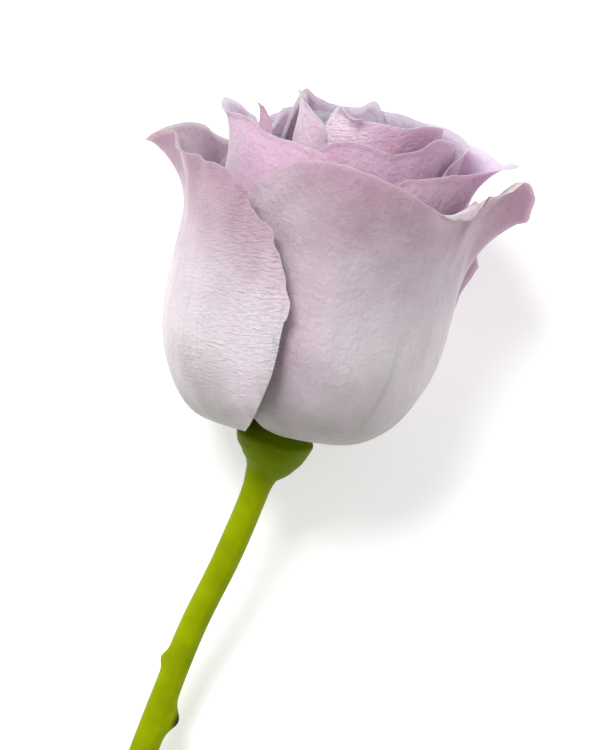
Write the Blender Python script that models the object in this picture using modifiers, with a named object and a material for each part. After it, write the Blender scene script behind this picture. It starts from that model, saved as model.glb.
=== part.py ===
"""A half open garden rose on a cut stem, lying on a flat surface.

The flower is modelled in its own frame, with its axis along +Y and the side that faces up from the
surface along +Z. An empty then tips that frame, so that the lowest petal tips and the stem's cut end
carry the flower. All driving dimensions are in millimetres and degrees.
"""

import math
from dataclasses import dataclass

import bmesh
import bpy
import numpy as np
from mathutils import Matrix, Vector

MM = 0.001

# Flower as a whole
AXIS_RISE = 13.6
PETAL_THICKNESS = 0.62

# Petal meshes: grid cells across and along each blade, and steps in working out their outlines
LARGE_CELLS = (14, 13)
HEART_CELLS = (9, 9)
PROFILE_STEPS = 160
STEPS_PER_ROW = 8

# Blades: where along the length a blade reaches its full width and its full slant
WIDE_AT = 0.5
SLANTED_AT = 0.3
PROFILE_SPARE = 2.0

# Roots: the petals stand on the cone of the hip in levels, each one higher and further in than the last
ROOT_RADIUS = 6.3
ROOT_RADIUS_STEP = 0.5
ROOT_HEIGHT = 1.4
ROOT_HEIGHT_STEP = 0.85
CLAW_HALF_WIDTH = 2.3
CLAW_STEP = 0.15
BODY_HEIGHT = 23.0
BODY_POWER = 2.2
BODY_POWER_STEP = 0.035

# Heart: its core, and how far in and how high up its petals are rooted
CORE_RADIUS = 2.1
CORE_TOP_RADIUS = 0.9
CORE_BASE = 6.95
CORE_HEIGHT = 4.4
CORE_SIDES = 16
HEART_ROOT_RADIUS = 0.3
HEART_ROOT_SPREAD = 0.08
HEART_ROOT_TOP = 9.6
HEART_ROOT_STEP = 0.14
HEART_CLAW = 1.2
HEART_BODY_HEIGHT = 22.0
HEART_BODY_POWER = 1.8
HEART_BEND_DEPTH = 6.0

# Hip and stem as one tube: (place along the axis, radius), from the cut end to the cone's tip
TUBE_RADIUS = (
    (-94.0, 2.55), (-60.0, 2.45), (-14.0, 2.4), (-10.0, 2.45), (-7.1, 2.85), (-4.3, 4.8), (-1.6, 6.4),
    (0.2, 6.9), (0.8, 6.3), (1.65, 5.8), (3.35, 4.8), (5.05, 3.8), (6.2, 3.1), (6.6, 2.4),
)
# How far the tube's middle line stands to the side of the flower's axis
TUBE_SIDEWAYS = (
    (-94.0, -13.2), (-58.2, -8.9), (-38.0, -6.3), (-22.8, -3.1), (-11.5, -1.3), (-7.1, -0.8), (-4.3, -0.2),
    (-2.0, 0.0), (7.0, 0.0),
)
STEM_TOP = -9.5
STEM_STEPS = 14
TUBE_RESOLUTION = 4

# The cut end: where the stem is cut, how far the cut slants, and how high its middle is above the surface
CUT_PLACE = -88.0
CUT_SLANT = 35.0
CUT_HEIGHT = 2.8

# What a shed leaf and a thorn left on the stem: middle and half sizes
LEAF_SCAR = ((-6.7, -53.6, 0.5), (1.5, 3.2, 1.3))
THORN_STUB = ((-9.3, -43.7, 0.4), (0.95, 1.4, 0.9))
KNOB_SEGMENTS = 12
KNOB_RINGS = 8

WELD = 0.01
CUTTER_SIZE = 40.0
PETAL_SHARP_ANGLE = 50.0

# Resting height: how far the middle of the receptacle is above the surface
REST_HEIGHT = 19.9

# Colours in linear light, and roughness
LILAC = ((0.72, 0.60, 0.70), 0.55)
MAUVE = ((0.58, 0.40, 0.56), 0.55)
GREEN = ((0.20, 0.27, 0.02), 0.45)
MAUVE_PETALS = (
    "petal_second_right", "petal_third_right", "petal_third_front", "petal_third_left", "petal_third_back",
)


@dataclass
class Petal:
    """One petal, in millimetres and degrees.

    azimuth is where its middle stands round the flower: 0 faces up, 90 is the flower's right side.
    body_radius, body_height and power shape the cup, slope brings one margin in and the other out,
    droop lets the cup's bottom sag at the left and at the right, and a lower widening makes the blade
    widen sooner. Each entry of the rim is (place across the blade from -1 to 1, height, outward
    bend), and the bend builds up over the last bend_depth.
    """

    name: str
    azimuth: float
    half_angle: float
    root_radius: float
    root_height: float
    claw: float
    body_radius: float
    body_height: float
    power: float
    rim: tuple
    bend_depth: float = 12.0
    slope: float = 0.0
    droop: tuple = (0.0, 0.0)
    widening: float = 0.8


def smooth_curve(points, places):
    """Heights of a smooth curve through points at the given places, with no overshoot between them."""
    xs = np.array([point[0] for point in points], dtype=float)
    ys = np.array([point[1] for point in points], dtype=float)
    steps = np.diff(xs)
    slopes = np.diff(ys) / steps
    before = slopes[:-1]
    after = slopes[1:]
    onward = before * after > 0
    blended = np.where(onward, 2 * before * after / np.where(onward, before + after, 1.0), 0.0)
    tangents = np.concatenate(([slopes[0]], blended, [slopes[-1]]))
    index = np.clip(np.searchsorted(xs, places, side="right") - 1, 0, len(steps) - 1)
    span = steps[index]
    t = (places - xs[index]) / span
    rise = ys[index + 1] - ys[index]
    start = tangents[index] * span
    end = tangents[index + 1] * span
    return ys[index] + start * t + (3 * rise - 2 * start - end) * t**2 + (start + end - 2 * rise) * t**3


def smoothstep(values):
    """Rises from 0 to 1 with no kink at either end."""
    values = np.clip(values, 0.0, 1.0)
    return values * values * (3 - 2 * values)


def body_profile(petal, top):
    """Radius, height, running length and share of the sag along the petal, before its rim is bent."""
    quarter = np.linspace(0.0, math.pi / 2, PROFILE_STEPS)
    exponent = 2 / petal.power
    reach = np.sin(quarter) ** exponent
    radius = petal.root_radius + (petal.body_radius - petal.root_radius) * reach
    height = petal.root_height + petal.body_height * (1 - np.cos(quarter) ** exponent)
    sag = np.concatenate((np.sin(math.pi * reach) ** 2, np.zeros(PROFILE_STEPS - 1)))
    straight = top + PROFILE_SPARE - height[-1]
    above = np.linspace(0.0, straight, PROFILE_STEPS)[1:]
    radius = np.concatenate((radius, np.full(len(above), radius[-1])))
    height = np.concatenate((height, height[-1] + above))
    length = np.concatenate(([0.0], np.cumsum(np.hypot(np.diff(radius), np.diff(height)))))
    return radius, height, length, sag


def petal_surface(petal, columns, rows):
    """Points of the petal's middle surface in millimetres, as an array of columns by rows by 3.

    Each column of the grid runs up the body's profile to its own place on the rim, where it is bent
    outward, and the columns fan out from the narrow claw to the blade's full width.
    """
    across = np.linspace(-1.0, 1.0, columns + 1)
    rim_height = smooth_curve([(place, height) for place, height, bend in petal.rim], across)
    rim_bend = np.radians(smooth_curve([(place, bend) for place, height, bend in petal.rim], across))
    top = rim_height.max()
    radius, height, length, sag = body_profile(petal, top)
    full_width = math.radians(petal.half_angle) * petal.body_radius
    rising = slice(PROFILE_STEPS // 2, None)
    rim_length = np.interp(rim_height, height[rising], length[rising])
    blade_length = rim_length.max()
    surface = np.zeros((columns + 1, rows + 1, 3))
    for column, place in enumerate(across):
        along = np.linspace(0.0, rim_length[column], STEPS_PER_ROW * rows + 1)
        profile_radius = np.interp(along, length, radius)
        profile_height = np.interp(along, length, height)
        step_radius = np.diff(profile_radius)
        step_height = np.diff(profile_height)
        from_rim = rim_length[column] - (along[:-1] + along[1:]) / 2
        bend = rim_bend[column] * np.clip(1 - from_rim / petal.bend_depth, 0.0, 1.0)
        turned_radius = step_radius * np.cos(bend) + step_height * np.sin(bend)
        turned_height = step_height * np.cos(bend) - step_radius * np.sin(bend)
        bent_radius = profile_radius[0] + np.concatenate(([0.0], np.cumsum(turned_radius)))
        bent_height = profile_height[0] + np.concatenate(([0.0], np.cumsum(turned_height)))
        opening = np.clip(along / (WIDE_AT * blade_length), 0.0, 1.0)
        widening = np.sin(opening * math.pi / 2) ** petal.widening
        half_width = petal.claw + (full_width - petal.claw) * widening
        angle = math.radians(petal.azimuth) + place * half_width / profile_radius
        bent_height -= np.interp(place, (-1, 1), petal.droop) * np.interp(along, length, sag)
        spread = bent_radius + petal.slope * place * smoothstep(along / (SLANTED_AT * blade_length))
        points = np.stack((spread * np.sin(angle), bent_height, spread * np.cos(angle)), axis=-1)
        surface[column] = points[::STEPS_PER_ROW]
    return surface


def large_petal(name, level, azimuth, half_angle, body_radius, rim, **shape):
    """A petal that stands on the hip, at one of the levels of its cone."""
    return Petal(
        name=name,
        azimuth=azimuth,
        half_angle=half_angle,
        root_radius=ROOT_RADIUS - ROOT_RADIUS_STEP * level,
        root_height=ROOT_HEIGHT + ROOT_HEIGHT_STEP * level,
        claw=CLAW_HALF_WIDTH - CLAW_STEP * level,
        body_radius=body_radius,
        body_height=BODY_HEIGHT,
        power=BODY_POWER - BODY_POWER_STEP * level,
        rim=rim,
        **shape,
    )


def large_petals():
    """The petals that are sub-parts of their own, from the outside in."""
    return [
        large_petal(
            "petal_outer_left", 0, -79.5, 72, 25.0,
            ((-1, 30, 0), (-0.8, 45.5, 6), (-0.65, 47.2, 22), (-0.52, 49.2, 28), (-0.42, 50.4, 55),
             (-0.33, 50.8, 74), (-0.2, 50.2, 70), (-0.05, 49.8, 56), (0.08, 49.6, 36), (0.2, 48.8, 18),
             (0.38, 49.0, 8), (0.5, 48.3, 4), (0.61, 46.6, 2), (0.7, 43.6, 0), (0.81, 41, 0), (0.9, 36.5, 0),
             (1, 28, 0)),
            bend_depth=17, slope=0.7, droop=(4.5, -1.2), widening=0.95,
        ),
        large_petal(
            "petal_outer_front", 1, 48, 78, 24.5,
            ((-1, 49.5, 0), (-0.8, 54.1, 0), (-0.6, 55.4, 0), (-0.42, 54.6, 0), (-0.2, 52.4, 4), (-0.03, 50.3, 6),
             (0.04, 50.0, 8), (0.13, 51.6, 16), (0.22, 54.4, 26), (0.29, 56.2, 40), (0.36, 59.4, 50),
             (0.44, 57.6, 63), (0.54, 51.6, 58), (0.66, 48.5, 36), (0.85, 42, 8), (1, 34, 0)),
            bend_depth=18, slope=0.6, droop=(-1.0, 1.6),
        ),
        large_petal(
            "petal_outer_back_right", 0, 156, 44, 26.2,
            ((-1, 36.5, 24), (-0.8, 42, 20), (-0.5, 46.5, 35), (0, 51.8, 84), (0.3, 46.5, 40), (0.6, 40, 8),
             (0.8, 33, 0), (1, 26, 0)),
            bend_depth=16, droop=(2.2, 0.0),
        ),
        large_petal(
            "petal_outer_back_left", 1, 200, 58, 23.3,
            ((-1, 34, 0), (-0.6, 43, 3), (-0.2, 48.5, 35), (0, 53.4, 92), (0.12, 49, 25), (0.22, 45.5, 0),
             (0.35, 44, 0), (1, 33, 0)),
            bend_depth=18.5,
        ),
        large_petal(
            "petal_second_right", 2, 80, 65, 22.5,
            ((-1, 48, 0), (-0.75, 54.9, 0), (-0.4, 55.9, 0), (-0.15, 56.6, 12), (0.08, 61.2, 70),
             (0.3, 57.6, 35), (0.6, 57, 10), (1, 46, 0)),
            bend_depth=13,
        ),
        large_petal(
            "petal_second_back_left", 2, 212, 54, 21.9,
            ((-1, 42, 0), (-0.5, 52, 3), (0, 53, 8), (0.45, 47.5, 2), (0.75, 42, 0), (1, 34, 0)),
        ),
        large_petal(
            "petal_second_left", 3, -62, 68, 20.0,
            ((-1, 47, 0), (-0.9, 52.3, 0), (-0.72, 54.6, 8), (-0.5, 57.5, 38), (-0.36, 55.8, 30), (-0.15, 56.2, 12),
             (0.1, 57, 4), (0.3, 55.8, 2), (0.56, 56.2, 2), (0.75, 55.8, 0), (1, 47, 0)),
            bend_depth=10, slope=0.9,
        ),
        large_petal(
            "petal_second_front", 4, 10, 62, 20.0,
            ((-1, 40, 0), (-0.5, 48, 0), (0, 50, 0), (0.5, 48, 0), (1, 40, 0)),
            slope=0.8,
        ),
        large_petal(
            "petal_second_back_right", 4, 145, 62, 20.6,
            ((-1, 42, 0), (-0.5, 53, 4), (0, 55, 12), (0.5, 53, 4), (1, 42, 0)),
        ),
        large_petal(
            "petal_third_right", 5, 105, 60, 19.5,
            ((-1, 50, 0), (-0.6, 57.5, 2), (-0.25, 58.8, 6), (0.2, 58.8, 2), (0.6, 58, 0), (1, 50, 0)),
            bend_depth=8,
        ),
        large_petal(
            "petal_third_front", 6, 24, 62, 17.3,
            ((-1, 46, 0), (-0.8, 52, 0), (-0.62, 56, 2), (-0.48, 58.7, 6), (-0.22, 59.3, 2), (0.04, 58.2, 0),
             (0.26, 59.1, 0), (0.48, 61.0, 2), (0.68, 60.3, 0), (0.88, 58.5, 0), (1, 50, 0)),
            slope=1.2, bend_depth=6,
        ),
        large_petal(
            "petal_third_left", 6, -88, 40, 15.6,
            ((-1, 48, 0), (-0.4, 56, 0), (0, 58.0, 20), (0.3, 58, 5), (0.7, 57, 0), (1, 50, 0)),
            bend_depth=6,
        ),
        large_petal(
            "petal_third_back", 6, 180, 60, 17.2,
            ((-1, 46, 0), (-0.5, 55, 0), (0, 57, 6), (0.5, 55, 0), (1, 46, 0)),
        ),
    ]


def heart_petals():
    """The petals of the closed heart: name, azimuth, half angle, body radius, slope and rim."""
    rows = (
        ("spout", -72, 62, 9.8, 0.8,
         ((-1, 50, 0), (-0.5, 60.5, 2), (-0.1, 62, 14), (0.3, 61, 6), (0.6, 60, 2), (1, 50, 0))),
        ("back_wall", 202, 55, 11.8, -0.4,
         ((-1, 54, 0), (-0.6, 60.5, 2), (-0.2, 59.5, 0), (0.5, 60, 0), (1, 52, 0))),
        ("inner_front", 35, 70, 13.4, 1.7,
         ((-1, 54, 0), (-0.8, 59, 0), (-0.6, 61.0, 0), (-0.42, 61.8, 0), (-0.2, 61.2, 0), (0.05, 61.4, 0),
          (0.35, 62.0, 3), (0.78, 60.8, 8), (1, 54, 0))),
        ("inner_back_right", 128, 48, 13.6, 0.0,
         ((-1, 52, 0), (-0.4, 59.6, 0), (0.2, 59.3, 0), (0.7, 58.6, 0), (1, 54, 0))),
        ("curl_back", 220, 75, 7.8, 0.4, ((-1, 52, 0), (-0.5, 59, 0), (0.2, 59, 0), (1, 53, 0))),
        ("curl_right", 60, 90, 7.0, 1.2, ((-1, 52, 0), (-0.4, 58.5, 0), (0.4, 58.5, 0), (1, 53, 0))),
        ("curl_left", -40, 100, 4.8, 0.8, ((-1, 51, 0), (-0.3, 57.5, 0), (0.3, 57.5, 0), (1, 52, 0))),
        ("curl_centre", 150, 120, 2.5, 0.3, ((-1, 51, 0), (0, 57, 0), (1, 52, 0))),
    )
    return [
        Petal(
            name=name,
            azimuth=azimuth,
            half_angle=half_angle,
            root_radius=HEART_ROOT_RADIUS + HEART_ROOT_SPREAD * body_radius,
            root_height=HEART_ROOT_TOP - HEART_ROOT_STEP * body_radius,
            claw=HEART_CLAW,
            body_radius=body_radius,
            body_height=HEART_BODY_HEIGHT,
            power=HEART_BODY_POWER,
            rim=rim,
            slope=slope,
            bend_depth=HEART_BEND_DEPTH,
        )
        for name, azimuth, half_angle, body_radius, slope, rim in rows
    ]


def link_mesh(name, mesh, collection):
    piece = bpy.data.objects.new(name, mesh)
    collection.objects.link(piece)
    return piece


def height_above_surface(points):
    """Height of points of the flower's frame above the surface that the flower lies on."""
    rise = math.radians(AXIS_RISE)
    return REST_HEIGHT + points[..., 1] * math.sin(rise) + points[..., 2] * math.cos(rise)


def press_flat(surface):
    """Petal tips that would reach through the surface are pressed flat against it."""
    rise = math.radians(AXIS_RISE)
    sunk = np.minimum(height_above_surface(surface) - PETAL_THICKNESS / 2, 0.0)
    pressed = surface.copy()
    pressed[..., 1] -= sunk * math.sin(rise)
    pressed[..., 2] -= sunk * math.cos(rise)
    return pressed


def petal_object(petal, cells, collection):
    """A grid laid over the petal's middle surface, split into triangles and thickened both ways."""
    columns, rows = cells
    surface = press_flat(petal_surface(petal, columns, rows))
    grid = bmesh.new()
    bmesh.ops.create_grid(grid, x_segments=columns, y_segments=rows, size=1.0)
    for vertex in grid.verts:
        column = round((vertex.co.x + 1) / 2 * columns)
        row = round((vertex.co.y + 1) / 2 * rows)
        vertex.co = Vector(surface[column, row]) * MM
    bmesh.ops.triangulate(grid, faces=grid.faces[:])
    mesh = bpy.data.meshes.new(petal.name)
    grid.to_mesh(mesh)
    grid.free()
    piece = link_mesh(petal.name, mesh, collection)
    solidify = piece.modifiers.new("thickness", "SOLIDIFY")
    solidify.thickness = PETAL_THICKNESS * MM
    solidify.offset = 0.0
    solidify.use_even_offset = True
    return piece


def evaluated_mesh(piece):
    """The mesh of an object or curve as its modifiers leave it."""
    graph = bpy.context.evaluated_depsgraph_get()
    return bpy.data.meshes.new_from_object(piece.evaluated_get(graph))


def join_collection(base, tools, solver):
    """Joins a collection's objects to a base object with one Boolean union, and removes them."""
    union = base.modifiers.new("union", "BOOLEAN")
    union.operation = "UNION"
    union.operand_type = "COLLECTION"
    union.collection = tools
    union.solver = solver
    joined = evaluated_mesh(base)
    base.modifiers.clear()
    base.data = joined
    for tool in list(tools.objects):
        bpy.data.objects.remove(tool, do_unlink=True)


def heart_object(collection, tools):
    """The core and the inner petals that stand out of it, as one piece."""
    bpy.ops.mesh.primitive_cone_add(
        vertices=CORE_SIDES,
        radius1=CORE_RADIUS * MM,
        radius2=CORE_TOP_RADIUS * MM,
        depth=CORE_HEIGHT * MM,
    )
    core = bpy.context.object
    core.data.transform(Matrix.Translation((0, 0, (CORE_BASE + CORE_HEIGHT / 2) * MM)))
    core.data.transform(Matrix.Rotation(math.radians(-90), 4, "X"))
    heart = link_mesh("heart", core.data.copy(), collection)
    bpy.data.objects.remove(core, do_unlink=True)
    for petal in heart_petals():
        petal_object(petal, HEART_CELLS, tools)
    join_collection(heart, tools, "MANIFOLD")
    return heart


def stem_line(places):
    """How far the stem's middle line stands to the side and up from the flower's axis."""
    rise = math.radians(AXIS_RISE)
    sideways = smooth_curve(TUBE_SIDEWAYS, places)
    cut_height = (CUT_HEIGHT - REST_HEIGHT - CUT_PLACE * math.sin(rise)) / math.cos(rise)
    return sideways, cut_height * (np.minimum(places, 0.0) / CUT_PLACE) ** 2


def tube_mesh(collection):
    """Hip and stem as a curve whose bevel follows the tube's radius, made into a closed mesh."""
    stem_places = np.linspace(TUBE_RADIUS[0][0], STEM_TOP, STEM_STEPS)
    hip_places = [place for place, radius in TUBE_RADIUS if place > STEM_TOP]
    places = np.concatenate((stem_places, hip_places))
    sideways, upward = stem_line(places)
    curve = bpy.data.curves.new("stem_line", "CURVE")
    curve.dimensions = "3D"
    curve.bevel_depth = MM
    curve.bevel_resolution = TUBE_RESOLUTION
    curve.use_fill_caps = True
    spline = curve.splines.new("POLY")
    spline.points.add(len(places) - 1)
    radii = smooth_curve(TUBE_RADIUS, places)
    for point, side, place, up, radius in zip(spline.points, sideways, places, upward, radii):
        point.co = (side * MM, place * MM, up * MM, 1.0)
        point.radius = radius
    line = bpy.data.objects.new("stem_line", curve)
    collection.objects.link(line)
    mesh = evaluated_mesh(line)
    bpy.data.objects.remove(line, do_unlink=True)
    shell = bmesh.new()
    shell.from_mesh(mesh)
    bmesh.ops.remove_doubles(shell, verts=shell.verts[:], dist=WELD * MM)
    bmesh.ops.recalc_face_normals(shell, faces=shell.faces[:])
    shell.to_mesh(mesh)
    shell.free()
    return mesh


def knob(name, place, tools):
    """A small rounded swelling of the stem."""
    middle, half_sizes = place
    bpy.ops.mesh.primitive_uv_sphere_add(segments=KNOB_SEGMENTS, ring_count=KNOB_RINGS, radius=MM)
    swelling = bpy.context.object
    swelling.data.transform(Matrix.Diagonal((*half_sizes, 1.0)))
    swelling.data.transform(Matrix.Translation(Vector(middle) * MM))
    made = link_mesh(name, swelling.data.copy(), tools)
    bpy.data.objects.remove(swelling, do_unlink=True)
    return made


def cut_end(stem, cutters):
    """Cuts the stem off at a slant, with the long side of the slant face turned up."""
    side, up = stem_line(np.array([CUT_PLACE]))
    bpy.ops.mesh.primitive_cube_add(size=CUTTER_SIZE * MM)
    block = bpy.context.object
    block.data.transform(Matrix.Translation((0, -CUTTER_SIZE / 2 * MM, 0)))
    block.data.transform(Matrix.Rotation(math.radians(-CUT_SLANT), 4, "X"))
    block.data.transform(Matrix.Translation(Vector((side[0], CUT_PLACE, up[0])) * MM))
    cutter = link_mesh("cut_end", block.data.copy(), cutters)
    bpy.data.objects.remove(block, do_unlink=True)
    cutter.hide_render = True
    cutter.display_type = "WIRE"
    cut = stem.modifiers.new("cut_end", "BOOLEAN")
    cut.operation = "DIFFERENCE"
    cut.object = cutter
    cut.solver = "EXACT"


def stem_object(collection, tools, cutters):
    """Hip and stem in one piece, with the leaf scar and the thorn's stub, cut off at a slant."""
    stem = link_mesh("stem", tube_mesh(tools), collection)
    knob("leaf_scar", LEAF_SCAR, tools)
    knob("thorn_stub", THORN_STUB, tools)
    join_collection(stem, tools, "EXACT")
    cut_end(stem, cutters)
    return stem


def shade_round(piece, sharp_angle):
    piece.data.shade_smooth()
    piece.data.set_sharp_from_angle(angle=math.radians(sharp_angle))


def material(name, finish):
    colour, roughness = finish
    made = bpy.data.materials.new(name)
    made.use_nodes = True
    shader = made.node_tree.nodes["Principled BSDF"]
    shader.inputs["Base Color"].default_value = (*colour, 1.0)
    shader.inputs["Roughness"].default_value = roughness
    shader.inputs["Metallic"].default_value = 0.0
    made.diffuse_color = (*colour, 1.0)
    return made


def lay_down(pieces, cutters):
    """Parents all pieces and cutters to an empty that tips the flower onto its resting points.

    The origin is on the surface, below the middle of the box around the lying flower.
    """
    lying = bpy.data.objects.new("lying", None)
    pieces[0].users_collection[0].objects.link(lying)
    lying.rotation_euler = (math.radians(AXIS_RISE), 0.0, 0.0)
    lying.location = (0.0, 0.0, REST_HEIGHT * MM)
    for piece in [*pieces, *cutters.objects]:
        piece.parent = lying
    graph = bpy.context.evaluated_depsgraph_get()
    corners = []
    for piece in pieces:
        placed = piece.evaluated_get(graph)
        corners.extend(placed.matrix_world @ vertex.co for vertex in placed.data.vertices)
    low = [min(corner[axis] for corner in corners) for axis in range(3)]
    high = [max(corner[axis] for corner in corners) for axis in range(3)]
    lying.location.x -= (low[0] + high[0]) / 2
    lying.location.y -= (low[1] + high[1]) / 2
    lying.location.z -= low[2]


def main():
    for item in list(bpy.data.objects):
        bpy.data.objects.remove(item, do_unlink=True)
    scene = bpy.context.scene
    flower = bpy.data.collections.new("rose_flower")
    tools = bpy.data.collections.new("tools")
    cutters = bpy.data.collections.new("cutters")
    for collection in (flower, tools, cutters):
        scene.collection.children.link(collection)
    lilac = material("petal_lilac", LILAC)
    mauve = material("petal_mauve", MAUVE)
    green = material("stem_green", GREEN)
    pieces = []
    for petal in large_petals():
        piece = petal_object(petal, LARGE_CELLS, flower)
        piece.data.materials.append(mauve if petal.name in MAUVE_PETALS else lilac)
        shade_round(piece, PETAL_SHARP_ANGLE)
        pieces.append(piece)
    heart = heart_object(flower, tools)
    stem = stem_object(flower, tools, cutters)
    for piece, finish in ((heart, mauve), (stem, green)):
        piece.data.materials.clear()
        piece.data.materials.append(finish)
        shade_round(piece, PETAL_SHARP_ANGLE)
        pieces.append(piece)
    lay_down(pieces, cutters)
    bpy.data.collections.remove(tools)


if __name__ == "__main__":
    main()
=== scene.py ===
"""Looks of a half open, pale lilac rose on a cut stem, lying on a pale surface.

The petals follow the same rule as the solids that they stand for, on a finer grid and as thin as a
real petal, and then get what only looks need: rolled and ruffled margins, folds, veins and bruises.
Sizes are in millimetres, and a petal's angles in degrees, in the flower's own frame, whose axis is +Y
and whose upper side is +Z. lie() takes them to the row's frame, and MM to metres.
"""

import math
from dataclasses import dataclass

import bmesh
import bpy
import numpy as np
from mathutils import Matrix, Vector


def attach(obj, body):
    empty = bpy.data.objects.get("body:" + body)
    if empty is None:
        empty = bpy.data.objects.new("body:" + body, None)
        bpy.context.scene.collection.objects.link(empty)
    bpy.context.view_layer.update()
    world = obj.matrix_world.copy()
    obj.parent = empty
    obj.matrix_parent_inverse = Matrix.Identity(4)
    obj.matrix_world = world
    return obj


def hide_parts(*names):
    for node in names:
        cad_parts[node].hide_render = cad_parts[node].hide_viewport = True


bl_info = {
    "name": "Rose flower looks",
    "version": (1, 0, 0),
    "blender": (4, 5, 0),
    "location": "3D View > Sidebar > Rose",
    "description": "Petals, stem and stage of a half open rose around its packed solids",
    "category": "Object",
}

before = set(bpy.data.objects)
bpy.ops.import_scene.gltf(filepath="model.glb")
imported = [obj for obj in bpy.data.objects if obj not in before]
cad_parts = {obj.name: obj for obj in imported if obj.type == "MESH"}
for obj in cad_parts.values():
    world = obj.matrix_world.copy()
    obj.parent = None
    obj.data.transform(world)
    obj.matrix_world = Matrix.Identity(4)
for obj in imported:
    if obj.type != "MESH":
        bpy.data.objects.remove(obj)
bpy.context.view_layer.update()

MM = 0.001
BODY = "root"

# How the flower lies: its axis rises out of the surface, where the middle of its receptacle is, and how
# high over the surface the middle of a petal's blade stays
AXIS_RISE = math.radians(13.6)
LIES_AT = (0.238, 12.907, 19.901)
CLEARANCE = 0.18

# Grids of the large petals and of the heart's petals, in cells across and along the blade, and of the stem
LARGE_CELLS = (96, 76)
HEART_CELLS = (64, 58)
STEM_RINGS = 260
STEM_SIDES = 48
PROFILE_STEPS = 160
STEPS_PER_ROW = 4
ROWS_TO_RIM = 1.6
COLUMNS_TO_SIDE = 1.35

# Blades: where along the length a blade reaches its full width and its full slant
WIDE_AT = 0.5
SLANTED_AT = 0.3
FOLD_SHARE = 0.45

# How a blade thins towards its margin: over which distance, in how many steps, and to what share
TAPER_REACH = 1.8
TAPER_LEVELS = 8
MARGIN_SHARE = 0.35
PROFILE_SPARE = 2.0

# Margins: the nicks' wavelength and reach, and how far up the blade its waves and its hollows set in
NICK_LENGTH = 4.2
NICK_REACH = 1.2
WAVES_FROM = 18.0
HOLLOWS_FROM = 20.0
NO_CREASE = 9.0

# The green rib: how far it stands to the side of the middle, its width and where it ends
RIB_ASIDE = -1.6
RIB_WIDTH = 0.5
RIB_END = 0.75
RIB_FADE = 0.4

# Petals at least this dry get a dried margin all round, and petals this flushed count as mauve
DRIED = 0.35

# Roots: the petals stand on the cone of the hip in levels, each one higher and further in than the last
ROOT_RADIUS = 6.3
ROOT_RADIUS_STEP = 0.5
ROOT_HEIGHT = 1.4
ROOT_HEIGHT_STEP = 0.85
CLAW_HALF_WIDTH = 2.3
CLAW_STEP = 0.15
BODY_HEIGHT = 23.0
BODY_POWER = 2.2
BODY_POWER_STEP = 0.035

# Roots and cups of the closed heart's petals
HEART_ROOT_RADIUS = 0.3
HEART_ROOT_SPREAD = 0.08
HEART_ROOT_TOP = 9.6
HEART_ROOT_STEP = 0.14
HEART_CLAW = 1.2
HEART_BODY_HEIGHT = 22.0
HEART_BODY_POWER = 1.8
HEART_BEND_DEPTH = 6.0

# Hip and stem as one tube: (place along the axis, radius), from the cut end to the cone's tip
TUBE_RADIUS = (
    (-94.0, 2.55), (-60.0, 2.45), (-14.0, 2.4), (-10.0, 2.45), (-7.1, 2.85), (-4.3, 4.8), (-1.6, 6.4),
    (0.2, 6.9), (0.8, 6.3), (1.65, 5.8), (3.35, 4.8), (5.05, 3.8), (6.2, 3.1), (6.6, 2.4),
)
# How far the tube's middle line stands to the side of the flower's axis
TUBE_SIDEWAYS = (
    (-94.0, -13.2), (-58.2, -8.9), (-38.0, -6.3), (-22.8, -3.1), (-11.5, -1.3), (-7.1, -0.8), (-4.3, -0.2),
    (-2.0, 0.0), (7.0, 0.0),
)
# What shed leaves and thorns left: place along the stem, turn round it, length, width, height, darkness
STEM_MARKS = (
    (-53.6, 0.0, 2.2, 28.0, 1.5, 1.0),
    (-43.7, 180.0, 1.3, 22.0, 0.75, 0.35),
)
CUT_PLACE = -88.0
CUT_SLANT = 35.0
CUT_HEIGHT = 2.8
CUT_REACH = 12.0

# The photograph's frame, in pixels, and the pixel where the middle of the receptacle shows in it
PHOTO_SIZE = (600, 750)
PHOTO_RECEPTACLE = (275, 438)
PIXEL = 0.175
AXIS_LEAN = 14.0


def colour(text):
    """A colour written as sRGB hex, in linear light."""
    parts = [int(text[start:start + 2], 16) / 255 for start in (0, 2, 4)]
    return tuple(part / 12.92 if part <= 0.04045 else ((part + 0.055) / 1.055) ** 2.4 for part in parts)


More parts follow.
